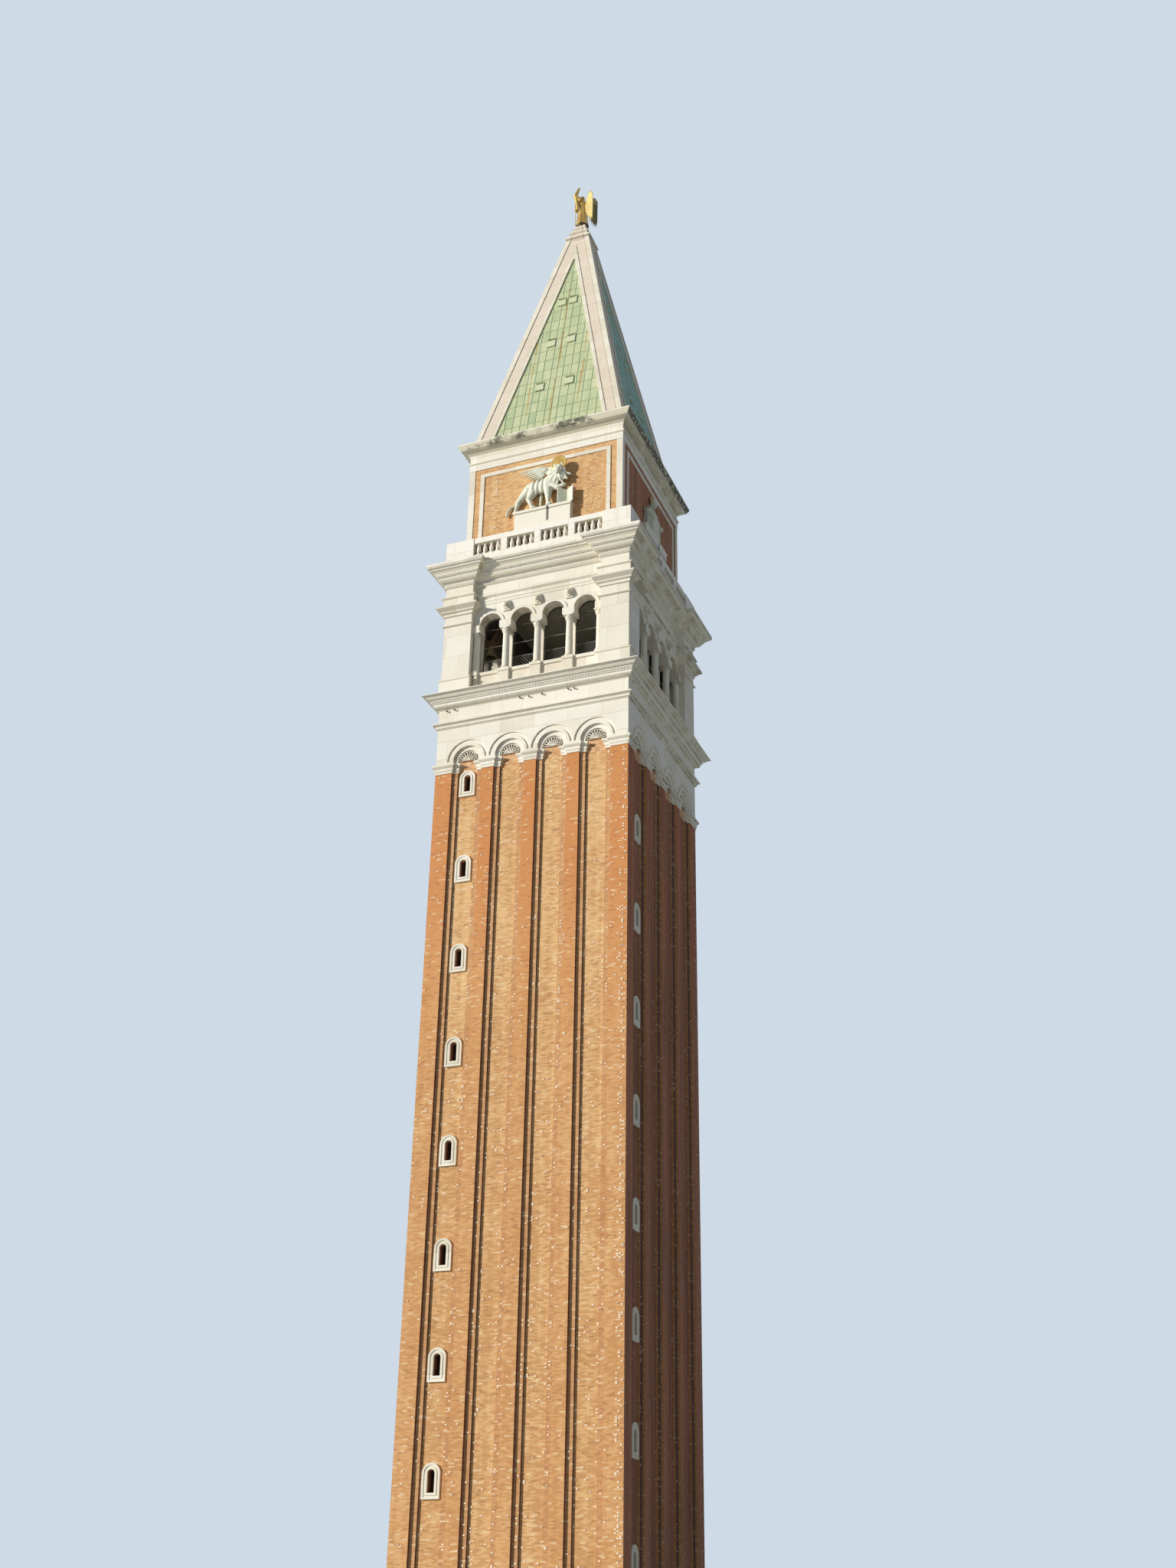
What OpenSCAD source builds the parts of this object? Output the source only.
// A brick and stone bell tower at a tenth of full size, with a gilded figure that turns as a wind vane
// and one bell that swings behind the front left arch. Front is -Y, and Z is up from the ground.

/* [Shaft] */
// Width over the corner pilasters
shaft_w = 1200; // [1160:10:1240]
// Height of the stone plinth
plinth_h = 120; // [80:10:200]
// Height of the brickwork above the plinth
brick_h = 4740; // [4200:20:5000]
// Thickness of the shaft walls
wall_t = 150; // [120:5:180]
// Width of an inner pilaster
pilaster_w = 75; // [60:1:90]
// Width of a sunk panel, over its side steps
panel_w = 191; // [170:1:200]
// Width of a panel's side step
step_w = 34; // [20:1:44]
// Depth of the side step behind the pilaster
step_d = 15; // [8:1:24]
// Depth of the panel behind its side step
panel_d = 12; // [8:1:24]

/* [Windows] */
// Width of a window opening
window_w = 40; // [30:1:50]
// Height of a window opening
window_h = 107; // [80:1:130]
// Height of the lowest window above the ground, on the front
window_z = 466; // [400:2:560]
// Distance between the windows of one face
window_pitch = 540; // [440:10:540]
// Width of the stone frame round a window
frame_w = 29; // [20:1:36]

/* [Arch band] */
// Height of the band from the pilaster capitals to the string course
arch_band_h = 295; // [285:1:330]
// Height of the pilaster capitals
capital_h = 56; // [40:1:64]
// Radius of the outer groove of a blind arch
arch_r = 130; // [126:1:132]
// Height of the frieze with its string course
frieze_h = 133; // [120:1:160]
// Height of the cornice below the belfry
lower_cornice_h = 84; // [74:1:100]

/* [Belfry] */
// Thickness of the belfry floor
floor_t = 28; // [20:1:40]
// Height of the piers, from the floor to the frieze
pier_h = 750; // [700:5:800]
// Thickness of a corner pier
pier_t = 105; // [90:1:120]
// Height of the parapet
parapet_h = 130; // [110:1:150]
// Height of a column, base and capital included
column_h = 290; // [240:1:330]
// Radius of a column at its foot
column_r = 22; // [16:0.5:24]
// Distance between columns
bay_w = 205; // [198:1:208]
// Radius of a belfry arch
belfry_arch_r = 70; // [60:1:74]
// Height of the cornice over the belfry
upper_cornice_h = 142; // [130:1:160]

/* [Attic] */
// Height of the balustrade
balustrade_h = 193; // [170:1:220]
// Distance of the attic's walls behind the faces of the shaft
attic_setback = 80; // [72:1:110]
// Height of the attic's brick walls
attic_h = 756; // [700:2:820]
// Height of the attic's frieze and cornice
attic_cornice_h = 192; // [170:1:220]

/* [Spire] */
// Distance of the roof's foot behind the attic's faces
roof_setback = 11; // [6:1:30]
// Width of the copper roof at its top
neck_w = 254; // [220:2:280]
// Height of the copper roof, up to the stone neck
roof_h = 1800; // [1500:10:2000]
// Height of the stone neck under the cap
neck_h = 236; // [160:4:280]
// Width of a stone hip on each face
hip_w = 121; // [90:1:124]
// Height of the stepped cap
cap_h = 170; // [140:2:200]
// Height of the gilded figure
figure_h = 379; // [340:1:400]
// Gap under the gilded figure, where it turns
vane_gap = 5; // [4:0.5:8]

/* [Bell] */
// Radius of the bell's lip
bell_r = 46; // [36:1:50]
// Height of the bell with its crown
bell_h = 92; // [80:1:100]

/* [Hidden] */

half = shaft_w / 2;
attic_w = shaft_w - 2 * attic_setback;
roof_w = attic_w - 2 * roof_setback;
// A corner pier takes what four bays leave of the face
jamb_gap = 10;
pier_w = half - 2 * bay_w - jamb_gap;
inner_half = half - wall_t;
panel_pitch = panel_w + pilaster_w;
stone = [0.93, 0.9, 0.82];
brick = [0.8, 0.5, 0.32];
copper = [0.55, 0.72, 0.62];
gold = [0.85, 0.66, 0.25];
iron = [0.3, 0.3, 0.3];
bronze = [0.4, 0.33, 0.2];
timber = [0.36, 0.26, 0.18];

// Levels
brick_top = plinth_h + brick_h;
frieze_z = brick_top + arch_band_h;
lower_cornice_z = frieze_z + frieze_h;
floor_z = lower_cornice_z + lower_cornice_h;
pier_z = floor_z + floor_t;
sill_z = pier_z + parapet_h;
capital_z = sill_z + column_h;
impost_h = 48;
spring_z = capital_z + impost_h;
pier_top = pier_z + pier_h;
terrace_z = pier_top + upper_cornice_h;
slab_t = 30;
attic_z = terrace_z + slab_t;
attic_top = attic_z + attic_h;
roof_z = attic_top + attic_cornice_h;
neck_z = roof_z + roof_h;
cap_z = neck_z + neck_h;
vane_z = cap_z + cap_h;

// Each face is drawn as the front and turned into its place
module on_face(i) { rotate([0, 0, 90 * i]) children(); }

// A moulding run along a plan path. The outside is on the path's right, and profile points are
// [outward, up]. Only the segments from first to last are drawn, so that an end can be mitred.
function unit(v) = v / norm(v);
function right_of(v) = [v[1], -v[0]];
function mitre(a, b) = (a + b) / (1 + a * b);
module moulding(path, profile, closed = false, first = 0, last = -1) {
    n = len(path);
    count = closed ? n : n - 1;
    out = max([for (p = profile) p[0]]) + 1;
    in = min([for (p = profile) p[0]]) - 1;
    normals = [for (i = [0:count - 1]) right_of(unit(path[(i + 1) % n] - path[i]))];
    stop = last < 0 ? count - 1 : last;
    for (i = [first:stop]) {
        a = path[i];
        b = path[(i + 1) % n];
        before = closed ? normals[(i + n - 1) % n] : normals[max(i - 1, 0)];
        after = closed ? normals[(i + 1) % n] : normals[min(i + 1, count - 1)];
        ma = mitre(before, normals[i]);
        mb = mitre(normals[i], after);
        low = min([for (p = profile) p[1]]) - 1;
        high = max([for (p = profile) p[1]]) + 1;
        reach = abs(in) + out;
        intersection() {
            translate([a[0], a[1], 0])
                rotate([0, 0, atan2(b[1] - a[1], b[0] - a[0]) + 90])
                    rotate([90, 0, 0])
                        translate([0, 0, -reach])
                            linear_extrude(norm(b - a) + 2 * reach)
                                polygon([for (p = profile) [-p[0], p[1]]]);
            translate([0, 0, low])
                linear_extrude(high - low)
                    polygon([a + ma * in, b + mb * in, b + mb * out, a + ma * out]);
        }
    }
}
// Leaves a fine joint at each corner, so that a ring is four blocks of masonry
joint_gap = 0.3;
module jointed() {
    difference() {
        children();
        for (a = [45, 135])
            rotate([0, 0, a])
                translate([-1500, -joint_gap / 2, -1])
                    cube([3000, joint_gap, 11000]);
    }
}
function ring_path(h) = [[-h, -h], [h, -h], [h, h], [-h, h]];
function raised(profile, z) = [for (p = profile) [p[0], p[1] + z]];
function arc(cx, cy, r, from, to, n) = [for (k = [0:n]) let (t = from + (to - from) * k / n)
    [cx + r * cos(t), cy + r * sin(t)]];

// Shaft
module plinth() {
    ground_floor_t = 60;
    color(stone) {
        moulding(ring_path(half), [[-wall_t - 1, 0], [24, 0], [24, plinth_h - 30],
            [12, plinth_h - 18], [12, plinth_h - 6], [6, plinth_h], [-wall_t - 1, plinth_h]],
            closed = true);
        translate([-inner_half, -inner_half, 0])
            cube([2 * inner_half, 2 * inner_half, ground_floor_t]);
    }
}
function panel_left(i) = -2 * panel_pitch + pilaster_w / 2 + i * panel_pitch;
function panel_centre(i) = panel_left(i) + panel_w / 2;
function stepped_face() = [for (i = [0:3]) let (a = panel_left(i), b = a + panel_w)
    each [[a, -half], [a, -half + step_d], [a + step_w, -half + step_d],
        [a + step_w, -half + step_d + panel_d], [b - step_w, -half + step_d + panel_d],
        [b - step_w, -half + step_d], [b, -half + step_d], [b, -half]]];
window_x = panel_centre(0);
window_lift = [0, 178, 270, 448];
window_room = brick_top + 20 - window_h / 2 - frame_w;
function window_heights(i) = [for (k = [-1:8]) let (z = window_z + window_lift[i] + k * window_pitch)
    if (z > plinth_h + window_h && z <= window_room) z];
module arched(w, h) {
    translate([-w / 2, -h / 2])
        square([w, h - w / 2]);
    translate([0, h / 2 - w / 2])
        circle(w / 2, $fn = 48);
}
module at_windows(i, y) {
    for (z = window_heights(i))
        translate([window_x, y, z])
            rotate([90, 0, 0])
                children();
}
module shaft_wall(i) {
    color(brick)
        on_face(i)
            difference() {
                translate([0, 0, plinth_h])
                    linear_extrude(brick_h)
                        polygon(concat([[-half, -half]], stepped_face(), [[half, -half],
                            [inner_half, -inner_half], [-inner_half, -inner_half]]));
                at_windows(i, -inner_half + 10)
                    linear_extrude(wall_t + 20)
                        arched(window_w, window_h);
            }
}
module window_frame() {
    frame_t = 12;
    difference() {
        linear_extrude(frame_t)
            arched(window_w + 2 * frame_w, window_h + 2 * frame_w);
        translate([0, 0, -1])
            linear_extrude(frame_t + 2)
                arched(window_w, window_h);
        translate([0, 0, frame_t - 4])
            linear_extrude(5)
                difference() {
                    arched(window_w + 1.3 * frame_w, window_h + 1.3 * frame_w);
                    arched(window_w + 0.8 * frame_w, window_h + 0.8 * frame_w);
                }
    }
}
module window_frames() {
    color(stone)
        for (i = [0:3])
            on_face(i)
                at_windows(i, -half + step_d + panel_d)
                    window_frame();
}

// Band of blind arches at the shaft's top
arch_z = brick_top + capital_h + 20;
arch_band_r = arch_r - 20;
arch_order_r = arch_r - 40;
tympanum_r = arch_r - 65;
capital_profile = [[-2, 0], [4, 0], [4, 12], [8, 18], [8, 34], [13, 38], [19, 46], [19, capital_h],
    [-2, capital_h]];
module bay_cut(w_low, r, depth) {
    translate([0, -half + depth, 0])
        rotate([90, 0, 0])
            linear_extrude(depth + 40) {
                translate([-w_low, brick_top - 1])
                    square([2 * w_low, capital_h + 1]);
                translate([-r, brick_top])
                    square([2 * r, arch_z - brick_top]);
                translate([0, arch_z])
                    circle(r, $fn = 72);
            }
}
module groove_cut() {
    translate([0, -half + 8, 0])
        rotate([90, 0, 0])
            linear_extrude(40)
                intersection() {
                    difference() {
                        translate([0, arch_z])
                            circle(arch_r, $fn = 72);
                        translate([0, arch_z])
                            circle(arch_band_r, $fn = 72);
                    }
                    translate([-arch_r, arch_z])
                        square([2 * arch_r, arch_r]);
                }
}
module blind_arches(i) {
    color(stone)
        on_face(i) {
            difference() {
                translate([0, 0, brick_top])
                    linear_extrude(arch_band_h)
                        polygon([[-half, -half], [half, -half], [inner_half, -inner_half],
                            [-inner_half, -inner_half]]);
                for (k = [0:3])
                    translate([panel_centre(k), 0, 0]) {
                        bay_cut(panel_w / 2, arch_order_r, step_d);
                        bay_cut(panel_w / 2 - step_w, tympanum_r, step_d + panel_d);
                        groove_cut();
                    }
            }
            for (k = [0:2]) {
                a = panel_left(k) + panel_w;
                capital([[a - step_w, -half + step_d + panel_d], [a - step_w, -half + step_d],
                    [a, -half + step_d], [a, -half], [a + pilaster_w, -half],
                    [a + pilaster_w, -half + step_d], [a + pilaster_w + step_w, -half + step_d],
                    [a + pilaster_w + step_w, -half + step_d + panel_d]]);
            }
            corner_capital();
            mirror([1, 0, 0])
                corner_capital();
        }
}
module capital(path, first = 0) {
    moulding(path, raised(capital_profile, brick_top), first = first);
}
module corner_capital() {
    a = panel_left(0);
    capital([[-half, half], [-half, -half], [a, -half], [a, -half + step_d],
        [a + step_w, -half + step_d], [a + step_w, -half + step_d + panel_d]], first = 1);
}
// A scallop: flutes are sunk between ridges that fan out from its hinge, each ending in a lobe
module arch_shell() {
    flutes = 9;
    shell_t = 13;
    flute_d = 8;
    lobe_out = tympanum_r - 16;
    lobe_r = 9;
    translate([0, -half + step_d + panel_d, arch_z])
        rotate([90, 0, 0])
            difference() {
                linear_extrude(shell_t)
                    intersection() {
                        union() {
                            circle(lobe_out, $fn = 64);
                            fan(flutes)
                                translate([lobe_out, 0])
                                    circle(lobe_r, $fn = 32);
                        }
                        translate([-tympanum_r, 0])
                            square([2 * tympanum_r, tympanum_r]);
                    }
                translate([0, 0, shell_t - flute_d])
                    linear_extrude(shell_t)
                        fan(flutes)
                            flute(lobe_out, lobe_r - 3);
            }
}
module fan(count) {
    for (k = [0.5:count])
        rotate([0, 0, 180 / count * k])
            children();
}
module flute(length, r) {
    translate([length, 0])
        circle(r, $fn = 32);
    polygon([[0.15 * length, 0], [length, -0.96 * r], [length, 0.96 * r]]);
}
module arch_shells() {
    color(stone)
        for (i = [0:3])
            on_face(i)
                for (k = [0:3])
                    translate([panel_centre(k), 0, 0])
                        arch_shell();
}
module string_course() {
    tip_z = 36;
    color(stone)
        jointed()
            moulding(ring_path(half), raised([[-wall_t, 0], [0, 0], [6, 6], [12, 10], [12, 20],
                [20, 28], [28, 30], [28, tip_z], [4, tip_z + 18], [0, tip_z + 18], [0, frieze_h],
                [-wall_t, frieze_h]], frieze_z), closed = true);
}
module lower_cornice() {
    h = lower_cornice_h;
    color(stone)
        jointed()
            moulding(ring_path(half), raised(concat([[-wall_t, 0], [2, 0], [10, 14]],
                arc(12, 30, 16, 270, 360, 4), [[28, h - 46], [47, h - 20], [47, h - 14],
                [68, h - 10], [68, h - 4], [83, h - 4], [83, h], [-wall_t, h]]),
                lower_cornice_z), closed = true);
}

// Belfry
arcade_y = 42;
arcade_t = 84;
parapet_t = 48;
coping_out = 8;
foot_out = 16;
crown_out = 22;
neck_out = 11;
archivolt_w = 19;
module belfry_floor() {
    color(stone)
        translate([-half, -half, floor_z])
            cube([shaft_w, shaft_w, floor_t]);
}
module corner_pier(i) {
    base = [[-2, 0], [10, 0], [10, 84], [foot_out, 90], [foot_out, 95], [4, 100], [-2, 100]];
    neck = raised([[-2, 0], [6, 3], [neck_out, 7], [neck_out, 11], [-2, 16]], spring_z - pier_z + 2);
    crown = raised([[-2, 0], [8, 4], [8, 20], [21, 28], [21, 34], [28, 40], [44, 52], [47, 56],
        [47, 62], [12, 66], [12, 126], [crown_out, 134], [crown_out, 139], [-2, 144]],
        pier_h - 210);
    path = [[-half, -half + pier_w], [-half, -half], [-half + pier_w, -half]];
    wrapped = concat([[-half + arcade_y, -half + pier_w]], path,
        [[-half + pier_w, -half + arcade_y]]);
    color(stone)
        on_face(i) {
            translate([-half, -half, pier_z])
                linear_extrude(pier_h)
                    polygon([[0, 0], [pier_w, 0], [pier_w, pier_t], [pier_t, pier_t],
                        [pier_t, pier_w], [0, pier_w]]);
            for (profile = [base, neck, crown])
                moulding(wrapped, raised(profile, pier_z));
        }
}
columns_x = [for (k = [-1:1]) k * bay_w];
jamb_x = half - pier_w - column_r - 0.5;
all_columns_x = concat([-jamb_x], columns_x, [jamb_x]);
column_y = -half + 51;
module parapet(i) {
    coping = 22;
    span = 2 * (half - pier_w) - 1;
    color(stone)
        on_face(i) {
            translate([-span / 2, -half + arcade_y, pier_z])
                cube([span, parapet_t, parapet_h - coping]);
            translate([-span / 2, -half + arcade_y - coping_out, sill_z - coping])
                cube([span, parapet_t + 2 * coping_out, coping]);
            for (x = columns_x)
                pedestal(x - 36, x + 36, 0);
            pedestal(-span / 2, -jamb_x + column_r, foot_out);
            mirror([1, 0, 0])
                pedestal(-span / 2, -jamb_x + column_r, foot_out);
        }
}
// Its body stands clear of the pier's foot by the inset
module pedestal(from, to, inset) {
    cap = 20;
    edge = 3;
    translate([from + edge + inset, -half + cap + 4, pier_z])
        cube([to - from - 2 * edge - inset, 40, parapet_h - cap + 1]);
    translate([from, -half + cap, sill_z - cap])
        cube([to - from, 60, cap]);
}
module jamb_column(x) {
    intersection() {
        translate([x, column_y, sill_z])
            column();
        translate([-half + pier_w + 0.5, -half - 1, sill_z - 1])
            cube([2 * (half - pier_w) - 1, 200, column_h + 2]);
    }
}
module column() {
    top_r = column_r - 2.5;
    foot = 22;
    cap = 34;
    rotate_extrude($fn = 48)
        polygon(concat([[0, 0], [column_r + 5, 0]],
            arc(column_r + 5, 5, 5, -90, 90, 6), [[column_r + 3, 12]],
            arc(column_r + 2, 16, 3, -60, 90, 4), [[column_r, foot], [top_r, column_h - cap - 4],
            [top_r + 4, column_h - cap - 2], [top_r + 4, column_h - cap + 2],
            [top_r, column_h - cap + 4], [top_r + 1, column_h - cap + 8]],
            [[top_r + 6, column_h - 14], [top_r + 9, column_h - 8], [0, column_h - 8]]));
    translate([-top_r - 9, -top_r - 9, column_h - 8])
        cube([2 * top_r + 18, 2 * top_r + 18, 8]);
}
module belfry_columns() {
    rear_w = 38;
    rear_y = arcade_y + parapet_t + coping_out;
    color(stone)
        for (i = [0:3])
            on_face(i) {
                for (x = columns_x)
                    translate([x, column_y, sill_z])
                        column();
                for (x = [-jamb_x, jamb_x])
                    jamb_column(x);
                for (x = all_columns_x)
                    translate([x - rear_w / 2, -half + rear_y, pier_z])
                        cube([rear_w, arcade_y + arcade_t + 4 - rear_y, capital_z - pier_z]);
            }
}
arch_x = [for (k = [-1.5:1:1.5]) k * bay_w];
module arcade(i) {
    front = -half + arcade_y;
    back = front + arcade_t;
    span = 2 * (half - pier_w) - 1;
    architrave = raised([[-2, 0], [3, 0], [3, 20], [6, 20], [6, 42], [10, 46], [18, 54], [18, 58],
        [-2, 62]], pier_top - 138);
    run = span / 2 - neck_out - 1;
    crown_run = span / 2 - crown_out - 1;
    color(stone)
        on_face(i) {
            difference() {
                translate([-span / 2, front, spring_z])
                    cube([span, back - front, pier_top - spring_z]);
                for (x = arch_x)
                    translate([x, back + 1, spring_z])
                        rotate([90, 0, 0])
                            cylinder(h = back - front + 2, r = belfry_arch_r, $fn = 72);
            }
            intersection() {
                for (x = arch_x)
                    archivolt(x, front);
                translate([-run, front - 10, spring_z])
                    cube([2 * run, 12, belfry_arch_r + archivolt_w + 1]);
            }
            moulding([[-crown_run, front], [crown_run, front]], architrave);
            for (x = columns_x)
                impost(x - 38, 76);
            impost(-span / 2, span / 2 - jamb_x + column_r);
            impost(jamb_x - column_r, span / 2 - jamb_x + column_r);
        }
}
module archivolt(x, front) {
    translate([x, front + 1, spring_z])
        rotate([90, 0, 0])
            linear_extrude(7)
                intersection() {
                    difference() {
                        circle(belfry_arch_r + archivolt_w, $fn = 72);
                        circle(belfry_arch_r, $fn = 72);
                    }
                    translate([-100, 0])
                        square([200, 100]);
                }
}
module impost(x, w) {
    translate([x, -half + 22, capital_z])
        cube([w, 108, impost_h]);
}
module tie_rods() {
    rod_r = 2.5;
    gap = 2 * (bay_w - 38 * 2);
    color(iron)
        for (i = [0:3])
            on_face(i)
                for (x = arch_x)
                    translate([x - bay_w / 2 + 38, -half + 90, capital_z + 30])
                        rotate([0, 90, 0])
                            cylinder(h = gap / 2, r = rod_r, $fn = 16);
}

// Cornice over the belfry, broken forward over the corner piers
function broken_side(h, back, w) = [[-h, -h], [-h + w, -h], [-h + w, -h + back],
    [h - w, -h + back], [h - w, -h]];
function turned(p, i) = i == 0 ? p : turned([-p[1], p[0]], i - 1);
module upper_cornice() {
    side = broken_side(half, arcade_y, pier_w);
    path = [for (i = [0:3]) for (p = side) turned(p, i)];
    top = upper_cornice_h;
    in = -pier_t + arcade_y;
    color(stone)
        jointed()
            moulding(path, raised([[in, 0], [0, 0], [8, 10], [8, 34], [12, 40], [28, 58],
                [28, 68], [44, 76], [60, 100], [66, 106], [82, 112], [82, 122], [88, 126],
                [100, 136], [100, top], [in, top]], pier_top), closed = true);
}
module terrace_floor() {
    edge = half - 60;
    color(stone)
        translate([-edge, -edge, terrace_z])
            cube([2 * edge, 2 * edge, slab_t]);
}

// Balustrade round the terrace
module baluster() {
    rotate_extrude($fn = 24)
        polygon([[0, 0], [9, 0], [9, 6], [5, 9], [10, 24], [11, 30], [9, 40], [5, 62], [8, 66],
            [5, 70], [9, 79], [9, 85], [0, 85]]);
}
module balustrades() {
    baluster_h = 85;
    rail_h = 37;
    base_h = balustrade_h - baluster_h - rail_h;
    post = pier_w + 5;
    post_t = 48;
    die = 42;
    pitch = 43;
    edge = half + 12;
    bay = (edge - post + die / 2) / 2;
    rail_z = terrace_z + base_h + baluster_h;
    color(stone)
        jointed()
            for (i = [0:3])
                on_face(i) {
                    translate([-edge, -edge, terrace_z])
                        cube([post, post_t, balustrade_h]);
                    translate([-edge, -edge, terrace_z])
                        cube([post_t, post, balustrade_h]);
                    translate([-edge + post, -edge + 6, terrace_z])
                        cube([2 * (edge - post), 40, base_h]);
                    translate([-edge + post, -edge + 4, rail_z])
                        cube([2 * (edge - post), 42, rail_h]);
                    for (k = [-1:1])
                        translate([k * bay - die / 2, -edge + 5, terrace_z + base_h])
                            cube([die, 38, baluster_h]);
                    for (k = [-1.5:1:1.5])
                        for (j = [-1.5:1:1.5])
                            translate([k * bay + j * pitch, -edge + 26, terrace_z + base_h])
                                baluster();
                }
}

// Attic
attic_half = attic_w / 2;
attic_t = 70;
module attic_walls() {
    color(brick)
        jointed()
            translate([0, 0, attic_z])
                linear_extrude(attic_h)
                    difference() {
                        square(attic_w, center = true);
                        square(attic_w - 2 * attic_t, center = true);
                    }
}
module attic_trim() {
    corner_strips();
    panel_frames();
}
module corner_strips() {
    strip = 36;
    out = 4;
    color(stone)
        for (i = [0:3])
            on_face(i)
                translate([-attic_half - out, -attic_half - out, attic_z])
                    linear_extrude(attic_h)
                        difference() {
                            square(strip + out);
                            translate([out, out])
                                square(strip + out);
                        }
}
module panel_frames() {
    side_gap = 77;
    low_gap = 90;
    top_gap = 38;
    band = 26;
    out = 6;
    w = attic_w - 2 * side_gap;
    h = attic_h - low_gap - top_gap;
    color(stone)
        for (i = [0:3])
            on_face(i)
                translate([-w / 2, -attic_half, attic_z + low_gap])
                    rotate([90, 0, 0])
                        linear_extrude(out)
                            difference() {
                                square([w, h]);
                                translate([band, band])
                                    square([w - 2 * band, h - 2 * band]);
                            }
}
module attic_cornice() {
    h = attic_cornice_h;
    color(stone)
        jointed()
            moulding(ring_path(attic_half), raised([[-attic_t, 0], [6, 0], [6, 46], [13, 54],
                [13, 62], [4, 68], [4, 96], [10, 120], [25, 136], [30, 141], [52, 145],
                [58, 154], [70, 177], [70, h - 6], [0, h], [-attic_t, h]], attic_top),
                closed = true);
}
relief_z = attic_z + 277;
ledge_h = 52;
ledge_w = 390;
relief_out = 48;
module ledge() {
    fillet_h = 10;
    translate([-ledge_w / 2, -relief_out + 6, relief_z])
        cube([ledge_w, relief_out - 6, ledge_h - fillet_h]);
    translate([-ledge_w / 2 - 5, -relief_out, relief_z + ledge_h - fillet_h])
        cube([ledge_w + 10, relief_out, fillet_h]);
}
// A rounded limb runs through points [along, out, up, radius], measured from the wall's face and
// the ledge's top. A centre behind the wall's face gives a low, broad swell.
module limb(points) {
    for (k = [0:len(points) - 2])
        hull() {
            ball(points[k]);
            ball(points[k + 1]);
        }
}
module ball(p) {
    translate([p[0], -p[1], p[2]])
        sphere(p[3], $fn = p[3] < 30 ? 8 : 10);
}
module ring_of_balls(x, out, z, ring_r, r, count) {
    for (k = [0:count - 1])
        ball([x + ring_r * cos(360 * k / count), out, z + ring_r * sin(360 * k / count), r]);
}
// A feather starts at [x, z], rises at the angle and stands this far out from the wall
module feather(x, z, angle, length, w, out) {
    translate([x, 0, z])
        rotate([90, -angle, 0])
            linear_extrude(out) {
                translate([0, -w])
                    square([length - w, 2 * w]);
                translate([length - w, 0])
                    circle(w, $fn = 16);
            }
}
module lion_body() {
    limb([[-72, -14, 162, 50], [-12, -22, 168, 66], [46, -22, 186, 70]]);
    limb([[52, -10, 200, 58], [96, 0, 236, 44]]);
    // Locks of the flank
    for (k = [0:5])
        limb([[-66 + 22 * k, 22 + 2 * k, 202 + 6 * k, 12], [-58 + 22 * k, 30 + 2 * k, 160 + 5 * k, 13],
            [-50 + 22 * k, 22 + 2 * k, 112 + 5 * k, 9]]);
    // Tail, two hind legs, a fore leg and the paw raised to the book
    limb([[-112, 4, 168, 10], [-168, 6, 122, 8], [-220, 8, 76, 7], [-236, 12, 26, 12]]);
    limb([[-84, -6, 150, 46], [-134, 6, 116, 28], [-176, 10, 74, 17], [-186, 12, 34, 14],
        [-206, 20, 12, 15]]);
    limb([[-52, 2, 130, 38], [-58, 14, 100, 24], [-84, 14, 62, 15], [-76, 16, 28, 13],
        [-58, 24, 12, 15]]);
    limb([[50, 2, 150, 36], [42, 14, 92, 20], [42, 16, 30, 15], [56, 26, 12, 16]]);
    limb([[84, 4, 176, 34], [112, 18, 150, 19], [140, 24, 144, 16]]);
}
module lion_head() {
    ball([114, 18, 256, 35]);
    limb([[115, 40, 246, 17], [116, 50, 238, 11]]);
    for (side = [-1, 1]) {
        ball([115 + side * 12, 44, 266, 9]);
        ball([114 + side * 27, 22, 288, 10]);
    }
    ring_of_balls(114, 8, 250, 40, 17, 12);
}
module halo() {
    translate([120, 0, 298])
        rotate([90, 0, 0]) {
            cylinder(h = 8, r = 50, $fn = 64);
            cylinder(h = 11, r = 42, $fn = 64);
        }
}
// Long feathers lie back over the flank, with short coverts over their roots
module lion_wing() {
    for (k = [0:4])
        feather(34, 236 + 10 * k, 180 - 5 * k, 196 - 23 * k, 12, 26 + 4 * k);
    for (k = [0:3])
        feather(50, 232 + 13 * k, 174 - 6 * k, 96 - 8 * k, 11, 42 + 3 * k);
}
// The open book stands on the ledge, with blank leaves that fall in to its spine
module open_book() {
    book_h = 104;
    x = 158;
    leaf = [[50, 0], [50, -34], [45, -38], [43, -34], [20, -30], [0, -16]];
    last = len(leaf) - 1;
    translate([0, 0, -1])
        linear_extrude(book_h)
            polygon(concat([for (p = leaf) [x - p[0], p[1]]],
                [for (k = [last - 1:-1:0]) [x + leaf[k][0], leaf[k][1]]]));
}
module relief_panel() {
    intersection() {
        children();
        translate([-300, -relief_out - 8, -1])
            cube([600, relief_out + 8, 400]);
    }
}
module lion_reliefs() {
    for (i = [0, 2])
        on_face(i)
            translate([0, -attic_half, 0]) {
                color(stone)
                    ledge();
                translate([0, 0, relief_z + ledge_h]) {
                    color(stone)
                        relief_panel() {
                            lion_body();
                            lion_head();
                            lion_wing();
                        }
                    color(stone)
                        open_book();
                    color(gold)
                        halo();
                }
            }
}
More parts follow.
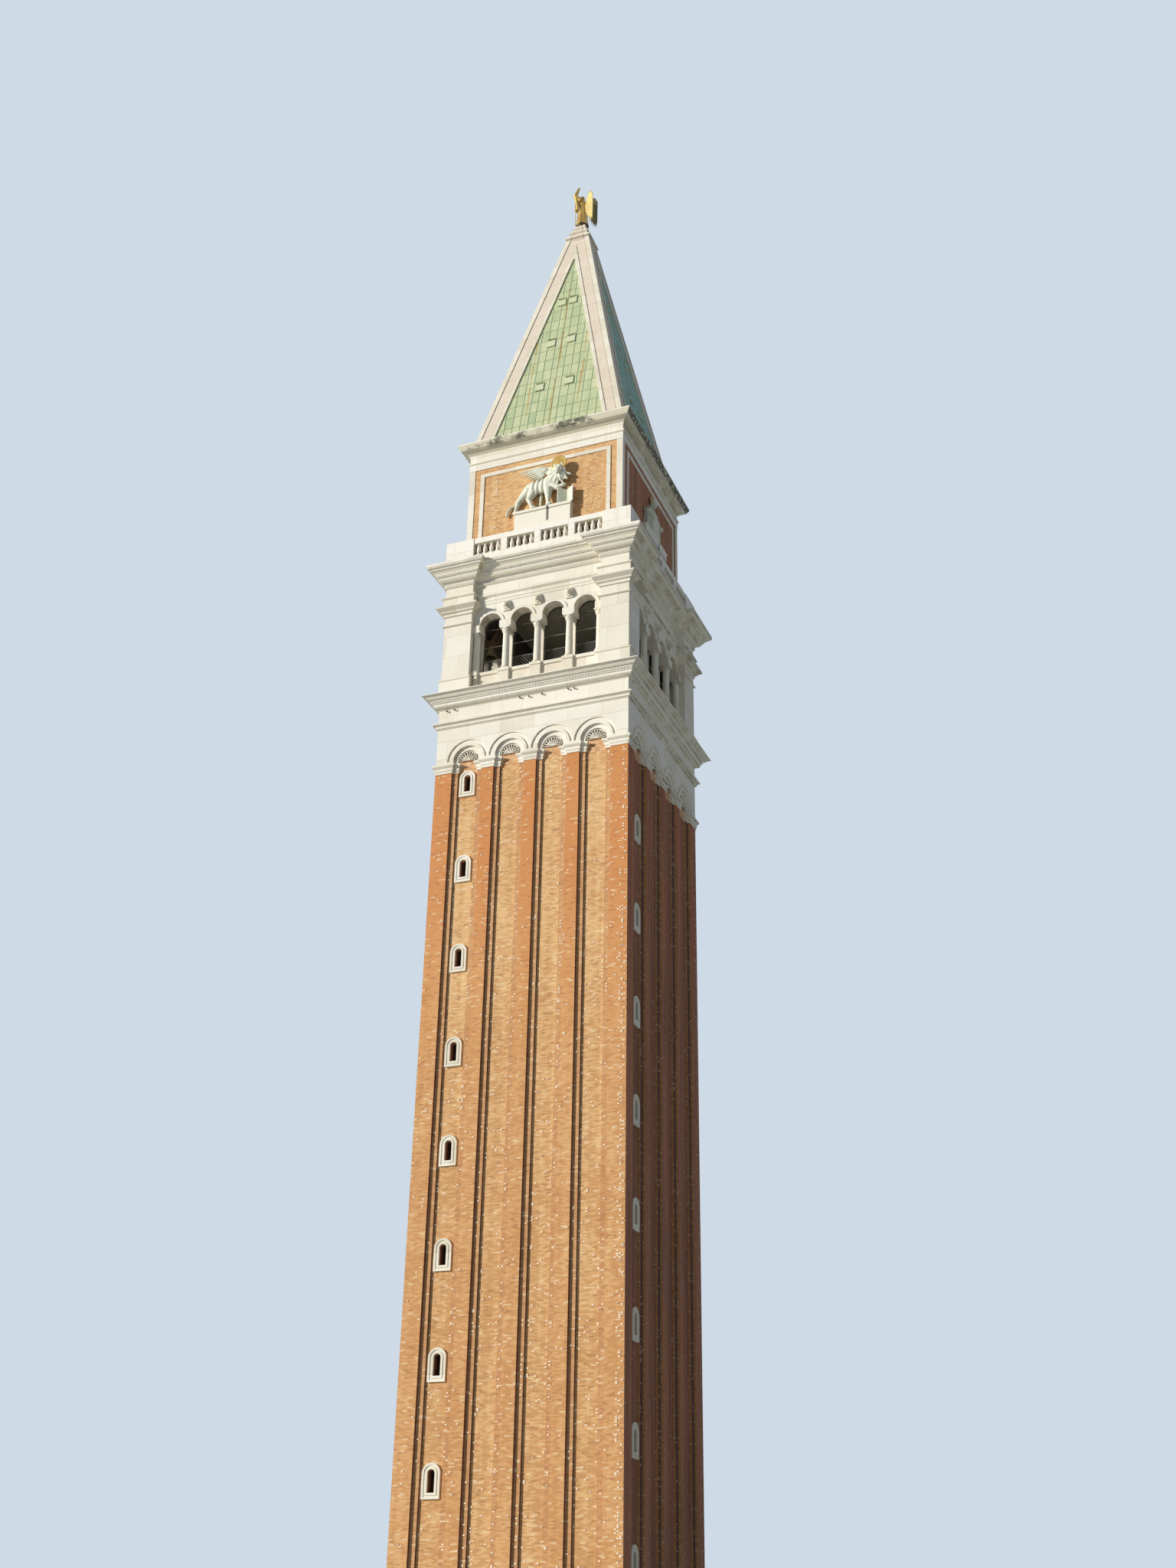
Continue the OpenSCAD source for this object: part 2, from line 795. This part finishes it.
// A crowned, draped figure on a seat, with a lion's head at each arm of the seat
module seated_figure() {
    translate([-92, -26, -1])
        cube([184, 26, 140]);
    limb([[0, -14, 204, 48], [0, -8, 170, 50], [0, 0, 126, 52]]);
    limb([[-36, 4, 216, 22], [36, 4, 216, 22]]);
    limb([[-30, 12, 104, 30], [30, 12, 104, 30]]);
    limb([[-38, 8, 14, 32], [38, 8, 14, 32]]);
    for (side = [-1, 1]) {
        limb([[side * 26, 12, 116, 34], [side * 32, 22, 60, 27], [side * 36, 20, 12, 29]]);
        limb([[side * 48, 8, 212, 21], [side * 68, 18, 166, 17], [side * 42, 38, 130, 13]]);
        limb([[side * 108, 0, 10, 32], [side * 108, 4, 96, 28]]);
        lion_arm(side * 108);
    }
    // Folds of the robe over the lap
    for (k = [-2:2])
        limb([[k * 13, 40, 116, 7], [k * 17, 40, 60, 8], [k * 22, 38, 8, 9]]);
    limb([[0, 6, 236, 17], [0, 16, 262, 24], [0, 14, 276, 26]]);
    limb([[0, 24, 254, 18], [0, 22, 276, 22]]);
}
module lion_arm(x) {
    ball([x, 18, 142, 28]);
    ball([x, 40, 134, 12]);
    ring_of_balls(x, 12, 140, 28, 12, 8);
}
module crown() {
    translate([0, -18, 288]) {
        cylinder(h = 8, r = 24, $fn = 32);
        for (a = [0:60:359])
            rotate([0, 0, a])
                translate([18, -4, 0])
                    cube([5, 8, 20]);
    }
}
module seated_reliefs() {
    for (i = [1, 3])
        on_face(i)
            translate([0, -attic_half, 0]) {
                color(stone)
                    ledge();
                translate([0, 0, relief_z + ledge_h]) {
                    color(stone)
                        relief_panel()
                            seated_figure();
                    color(gold)
                        relief_panel()
                            crown();
                }
            }
}

// Spire: a pyramid is the crossing of two wedges, so its faces stay flat and exact
slope = (roof_w - neck_w) / 2 / roof_h;
function half_at(z) = roof_w / 2 - slope * (z - roof_z);
module wedge(grow, z0, z1) {
    a = half_at(z0) + grow;
    b = half_at(z1) + grow;
    translate([0, 1000, 0])
        rotate([90, 0, 0])
            linear_extrude(2000)
                polygon([[-a, z0], [a, z0], [b, z1], [-b, z1]]);
}
module pyramid(grow, z0, z1) {
    intersection() {
        wedge(grow, z0, z1);
        rotate([0, 0, 90])
            wedge(grow, z0, z1);
    }
}
roof_t = 14;
hip_t = 9;
band_t = 4;
band_edge = 26;
module hip_band(z0, z1) {
    meet_z = roof_z + (roof_w / 2 - hip_w + band_edge) / slope;
    for (a = [0, 90])
        rotate([0, 0, a])
            difference() {
                wedge(-band_edge, z0, z1);
                wedge(-hip_w + band_edge, z0 - 1, min(z1 + 1, meet_z - 2));
                rotate([0, 0, 90])
                    wedge(hip_t - band_t, z0, z1);
            }
}
seat_gap = 0.05;
module copper_roof() {
    color(copper)
        jointed()
            difference() {
                pyramid(0, roof_z, neck_z);
                pyramid(-roof_t, roof_z - 1, neck_z + 1);
            }
}
module spire_hips() {
    color(stone)
        for (i = [0:3])
            on_face(i)
                difference() {
                    intersection() {
                        pyramid(hip_t, roof_z, neck_z);
                        translate([-half, -half, roof_z])
                            cube([half - 2, half - 2, roof_h]);
                    }
                    pyramid(seat_gap, roof_z - 1, neck_z + 1);
                    wedge(-hip_w, roof_z - 1, neck_z + 1);
                    rotate([0, 0, 90])
                        wedge(-hip_w, roof_z - 1, neck_z + 1);
                    hip_band(roof_z - 1, neck_z + 1);
                }
}
module roof_hatches() {
    rows = [[0.741, 40], [0.504, 72], [0.262, 105]];
    color(copper)
        for (i = [0:3])
            on_face(i)
                difference() {
                    for (row = rows)
                        for (side = [-1, 1])
                            hatch(side * row[1], roof_z + row[0] * roof_h);
                    pyramid(seat_gap, roof_z - 1, neck_z + 1);
                }
}
// A hood shades the slot at the top of the lid, and a sill throws the rain off below it
module hatch(x, z) {
    w = 56;
    h = 77;
    lid_out = 7;
    hood_out = 15;
    sill_out = 11;
    sill_h = 6;
    rim = 4;
    slot_h = 9;
    root = 5;
    translate([x, -half_at(z), z])
        rotate([-atan(slope), 0, 0]) {
            difference() {
                translate([-w / 2, -lid_out, -h / 2])
                    cube([w, lid_out + root, h]);
                translate([-w / 2 + rim, -lid_out - 1, h / 2 - rim - slot_h])
                    cube([w - 2 * rim, lid_out - 1, slot_h]);
            }
            translate([-w / 2 - rim / 2, -hood_out, h / 2 - rim])
                cube([w + rim, hood_out + root, rim]);
            translate([-w / 2, -sill_out, -h / 2])
                cube([w, sill_out + root, sill_h]);
        }
}
module spire_cap() {
    tier_z = [0, 34, 92, 128];
    tier_half = [60, 64, 48, 38];
    color(stone) {
        difference() {
            pyramid(hip_t, neck_z, cap_z);
            hip_band(neck_z - 1, cap_z - 12);
        }
        translate([0, 0, cap_z])
            difference() {
                union() {
                    cap_tier(tier_half[0], concat([[0, 0]], arc(6, 14, 14, 270, 330, 3),
                        [[30, 14], [32, 20], [32, 28], [8, 34]]));
                    translate([0, 0, tier_z[1]])
                        cap_tier(tier_half[1], [[0, 0], [0, 34], [8, 42], [8, 50], [0, 58]]);
                    translate([0, 0, tier_z[2]])
                        cap_tier(tier_half[2], [[8, 0], [0, 8], [0, 28], [5, 36]]);
                    translate([0, 0, tier_z[3]])
                        cap_tier(tier_half[3], [[0, 0], [0, cap_h - 134], [-3, cap_h - 128]]);
                }
                translate([0, 0, cap_h - spindle_root])
                    cylinder(h = spindle_root + 1, r = spindle_r + pin_gap, $fn = 48);
            }
    }
}
// A square tier whose side follows the profile, made as the crossing of two prisms
module cap_tier(h, profile) {
    outline = concat([for (p = profile) [h + p[0], p[1]]],
        [for (k = [len(profile) - 1:-1:0]) [-h - profile[k][0], profile[k][1]]]);
    intersection() {
        rotate([90, 0, 0])
            linear_extrude(400, center = true)
                polygon(outline);
        rotate([90, 0, 90])
            linear_extrude(400, center = true)
                polygon(outline);
    }
}

// Gilded figure on its spindle
spindle_r = 8;
spindle_root = 40;
spindle_top = 60;
pin_gap = 0.05;
module vane_spindle() {
    color(iron)
        translate([0, 0, vane_z - spindle_root])
            cylinder(h = spindle_root + spindle_top, r = spindle_r, $fn = 48);
}
// The figure faces -X and is drawn in shares of its own height b, up to the crown of its head.
// Its raised hand is the tower's highest point.
module vane_figure() {
    b = 0.8 * figure_h;
    color(gold)
        translate([0, 0, vane_z + vane_gap]) {
            difference() {
                rotate_extrude($fn = 48)
                    polygon(robe_outline() * b);
                translate([0, 0, -1])
                    cylinder(h = spindle_top - vane_gap + 2, r = spindle_r + pin_gap, $fn = 48);
            }
            figure_head(b);
            wing(b);
            mirror([0, 1, 0])
                wing(b);
            raised_arm(b);
            lowered_arm(b);
        }
}
function robe_outline() = [[0, 0], [0.13, 0], [0.13, 0.02], [0.15, 0.03], [0.158, 0.06],
    [0.135, 0.2], [0.115, 0.38], [0.108, 0.5], [0.088, 0.585], [0.086, 0.61], [0.105, 0.7],
    [0.112, 0.76], [0.1, 0.8], [0.05, 0.835], [0.032, 0.85], [0.034, 0.88], [0, 0.89]];
module figure_head(b) {
    translate([-0.012 * b, 0, 0.925 * b])
        sphere(0.062 * b, $fn = 32);
    translate([0.02 * b, 0, 0.915 * b])
        sphere(0.06 * b, $fn = 32);
}
// The wing stands behind the shoulder: long feathers hang from its arched top, each lower than the
// last, under two rows of coverts
module wing(b) {
    plate_t = 6;
    pitch = 0.056 * b;
    translate([0.04 * b, 0.09 * b, 0])
        rotate([0, 0, 25])
            rotate([90, 0, 0]) {
                for (k = [0:5])
                    translate([0, 0, k % 2])
                        linear_extrude(plate_t - 2)
                            plume(k, pitch, (0.42 - 0.084 * k) * b, 0.7 * b);
                for (row = [0, 1])
                    translate([0, 0, -1 - row])
                        linear_extrude(plate_t + 2 * row)
                            for (k = [0:5])
                                plume(k, pitch, (0.6 + 0.14 * row - 0.022 * k) * b,
                                    (0.86 + 0.12 * sin(36 * k + 10) - 0.01 * row) * b);
            }
}
module plume(k, pitch, low, high) {
    r = 0.58 * pitch;
    x = pitch * (k + 0.4);
    polygon(concat(arc(x, low, r, 180, 360, 10), arc(x, high, r, 0, 180, 10)));
}
module arm_piece(from, to, r1, r2) {
    v = to - from;
    translate(from)
        rotate([0, acos(v[2] / norm(v)), atan2(v[1], v[0])])
            cylinder(h = norm(v), r1 = r1, r2 = r2, $fn = 24);
    translate(to)
        sphere(1.08 * r2, $fn = 24);
}
module raised_arm(b) {
    shoulder = [-0.01, -0.09, 0.78] * b;
    elbow = [-0.16, -0.16, 0.96] * b;
    hand_r = 0.026 * b;
    hand = [-0.12 * b, -0.1 * b, figure_h - 1.08 * hand_r];
    arm_piece(shoulder, elbow, 0.048 * b, 0.034 * b);
    arm_piece(elbow, hand, 0.034 * b, hand_r);
}
module lowered_arm(b) {
    shoulder = [-0.01, 0.09, 0.78] * b;
    elbow = [-0.1, 0.15, 0.6] * b;
    hand = [-0.19, 0.03, 0.68] * b;
    arm_piece(shoulder, elbow, 0.048 * b, 0.036 * b);
    arm_piece(elbow, hand, 0.036 * b, 0.026 * b);
    // The flowering stem that the hand holds
    translate([hand[0], hand[1], 0.19 * b])
        cylinder(h = 0.8 * b, r = 2.5, $fn = 16);
    for (k = [0:3])
        translate([hand[0], hand[1], (0.8 + 0.065 * k) * b])
            sphere((0.034 - 0.004 * k) * b, $fn = 16);
}

// Bell behind the front left arch
swing = 30;
hang_drop = 14;
bell_clear = 1.5;
swing_reach = ((hang_drop + bell_h) * sin(swing) + bell_r * sqrt(1 + pow(cos(swing), 2))) / sqrt(2);
bell_x = -round(half - arcade_y - arcade_t - 4 - swing_reach - bell_clear);
bell_y = bell_x;
pivot_z = sill_z + 310;
lip_z = pivot_z - hang_drop - bell_h;
gudgeon_r = 5;
beam_z = spring_z + 80;
hanger_u = bell_r + 12;
module at_bell() {
    translate([bell_x, bell_y, 0])
        rotate([0, 0, 45])
            children();
}
module bell_frame() {
    beam_h = 40;
    room = half - arcade_y - arcade_t;
    color(timber)
        intersection() {
            at_bell()
                for (side = [-1, 1])
                    translate([side * hanger_u - 13, -400, beam_z])
                        cube([26, 800, beam_h]);
            translate([-room, -room, 0])
                cube([2 * room, 2 * room, 10000]);
        }
    color(iron)
        at_bell()
            for (side = [-1, 1])
                difference() {
                    translate([side * hanger_u - 5, -13, pivot_z - 16])
                        cube([10, 26, beam_z - pivot_z + 16]);
                    translate([side * hanger_u - 10, 0, pivot_z])
                        rotate([0, 90, 0])
                            cylinder(h = 20, r = gudgeon_r + pin_gap, $fn = 32);
                }
}
module headstock() {
    reach = hanger_u - 12;
    color(timber)
        at_bell() {
            translate([-reach, -12, pivot_z - hang_drop])
                cube([2 * reach, 24, hang_drop + 16]);
            translate([-hanger_u - 5, 0, pivot_z])
                rotate([0, 90, 0])
                    cylinder(h = 2 * hanger_u + 10, r = gudgeon_r, $fn = 32);
        }
}
module bell() {
    r = bell_r;
    h = bell_h;
    color(bronze)
        translate([bell_x, bell_y, lip_z])
            rotate_extrude($fn = 64)
                polygon([[r - 5, 0], [r, 0], [r - 1, 6], [0.78 * r, 0.3 * h], [0.62 * r, 0.6 * h],
                    [0.52 * r, 0.76 * h], [0.2 * r, 0.84 * h], [0.2 * r, h], [0, h], [0, 0.78 * h],
                    [0.1 * r, 0.78 * h], [0.42 * r, 0.7 * h], [0.54 * r, 0.56 * h],
                    [0.7 * r, 0.28 * h]]);
}
module clapper() {
    color(iron)
        translate([bell_x, bell_y, lip_z]) {
            cylinder(h = 0.78 * bell_h, r = 2, $fn = 16);
            translate([0, 0, 4])
                sphere(8, $fn = 24);
        }
}

plinth();
shaft_wall(0);  // front_shaft_wall
shaft_wall(1);  // right_shaft_wall
shaft_wall(2);  // back_shaft_wall
shaft_wall(3);  // left_shaft_wall
window_frames();
blind_arches(0);  // front_blind_arches
blind_arches(1);  // right_blind_arches
blind_arches(2);  // back_blind_arches
blind_arches(3);  // left_blind_arches
arch_shells();
string_course();
lower_cornice();
belfry_floor();
corner_pier(0);  // front_left_pier
corner_pier(1);  // front_right_pier
corner_pier(2);  // back_right_pier
corner_pier(3);  // back_left_pier
parapet(0);  // front_parapet
parapet(1);  // right_parapet
parapet(2);  // back_parapet
parapet(3);  // left_parapet
belfry_columns();
arcade(0);  // front_arcade
arcade(1);  // right_arcade
arcade(2);  // back_arcade
arcade(3);  // left_arcade
tie_rods();
upper_cornice();
terrace_floor();
balustrades();
attic_walls();
attic_trim();
attic_cornice();
lion_reliefs();
seated_reliefs();
copper_roof();
roof_hatches();
spire_hips();
spire_cap();
vane_spindle();
vane_figure();
bell_frame();
headstock();
bell();
clapper();
